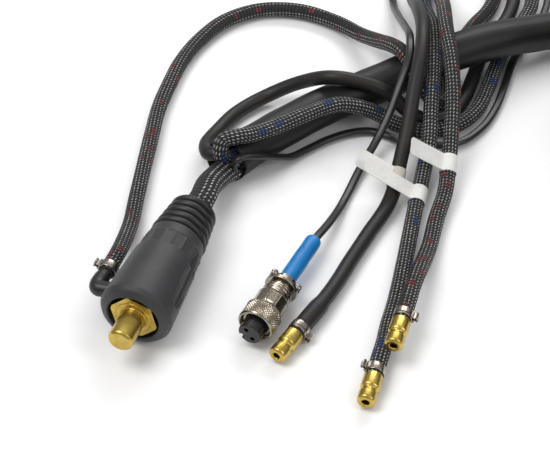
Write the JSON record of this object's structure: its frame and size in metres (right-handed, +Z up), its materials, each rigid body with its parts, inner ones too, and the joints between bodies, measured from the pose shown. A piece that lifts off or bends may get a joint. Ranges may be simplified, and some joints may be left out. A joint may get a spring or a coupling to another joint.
{
  "type": "welding torch",
  "caption": "Water-cooled TIG welding torch with its hose pack: power plug with side elbow, gas and water hoses with nipples, switch plug, coiled cover and torch head.",
  "frame": {"origin": "on the ground, under the middle of the box round the plug and the torch, which are the object's own pieces; the free cords and what hangs on them are left out of that box", "axes": "+Z up; +X from the machine plug towards the torch on its coil; +Y away from the viewer, behind the plugs"},
  "size_m": [0.5869, 0.4056, 0.0814],
  "materials": {
    "plug_rubber": "matte, dark slate grey",
    "boot_rubber": "matte black",
    "cover_rubber": "charcoal with a soft satin sheen",
    "power_braid": "black braid with white tracer stitches",
    "gas_rubber": "matte brownish black",
    "blue_fleck_braid": "black braid with white tracer rows and blue flecks",
    "red_fleck_braid": "black braid with white tracer rows and red flecks",
    "lead_black": "satin black",
    "brass": "satin turned brass",
    "nickel": "nickel plate, slightly warm",
    "clamp_steel": "plain steel",
    "insert_black": "black moulded insulator",
    "sleeve_blue": "bright blue shrink sleeve",
    "label": "pale grey blank label",
    "strap": "black woven strap",
    "handle_black": "fine textured black",
    "switch_grey": "dark grey",
    "seal_grey": "dark grey",
    "copper": "bare copper",
    "tungsten": "ground grey tungsten",
    "ceramic": "pink-brown fired ceramic",
    "head_black": "moulded black rubber"
  },
  "bodies": {
    "root": {"plug_sleeve": "plug_rubber", "plug_boot": "boot_rubber", "plug_pin": "brass", "plug_adaptor": "brass", "cable_ferrule": "copper", "side_elbow": "boot_rubber", "elbow_clamp": "clamp_steel", "cover_lead": "cover_rubber", "cover_coil": "cover_rubber", "cover_tail": "cover_rubber", "coil_tie_a": "strap", "coil_tie_b": "strap", "power_cable": "power_braid", "gas_hose": "gas_rubber", "water_in_hose": "blue_fleck_braid", "water_out_hose": "red_fleck_braid", "control_lead": "lead_black", "avi_body": "nickel", "avi_gland": "nickel", "avi_clamp_bar": "nickel", "avi_clamp_screw_a": "clamp_steel", "avi_clamp_screw_b": "clamp_steel", "avi_contact_a": "brass", "avi_contact_b": "brass", "avi_insert": "insert_black", "lead_sleeve": "sleeve_blue", "label_gas": "label", "label_water_in": "label", "label_water_out": "label", "handle_boot": "boot_rubber", "handle_shell": "handle_black", "switch_housing": "handle_black", "microswitch": "switch_grey", "head_pipe_power": "copper", "head_pipe_water": "copper", "head_pipe_gas": "copper", "torch_head": "head_black", "collet_body": "copper", "collet": "copper", "nozzle_gasket": "seal_grey", "gas_clamp": "clamp_steel", "gas_nipple": "brass", "water_in_clamp": "clamp_steel", "water_in_nipple": "brass", "water_out_clamp": "clamp_steel", "water_out_nipple": "brass"},
    "coupling_ring": {"avi_ring": "nickel"},
    "trigger": {"switch_button": "switch_grey"},
    "cap": {"back_cap": "head_black", "cap_seal": "seal_grey"},
    "nozzle": {"ceramic_nozzle": "ceramic"},
    "tungsten": {"electrode": "tungsten"}
  },
  "joints": [
    {"name": "coupling_ring_turn", "type": "hinge", "parent": "root", "child": "coupling_ring", "pos_m": [-0.19359, -0.0516, 0.0099], "axis": [-0.4446, -0.8957, 0], "continuous": true},
    {"name": "trigger_press", "type": "slide", "parent": "root", "child": "trigger", "axis": [0, 0, -1], "range_m": [0, 0.0015], "stiffness_N_per_m": 800, "springref_m": -0.001},
    {"name": "cap_turn", "type": "hinge", "parent": "root", "child": "cap", "pos_m": [0.25779, -0.09216, 0.0602], "axis": [0.9397, 0.342, 0], "continuous": true},
    {"name": "nozzle_turn", "type": "hinge", "parent": "root", "child": "nozzle", "pos_m": [0.21081, -0.10926, 0.0602], "axis": [-0.9397, -0.342, 0], "continuous": true},
    {"name": "tungsten_slide", "type": "slide", "parent": "root", "child": "tungsten", "axis": [-0.9397, -0.342, 0], "range_m": [-0.006, 0.002]}
  ]
}
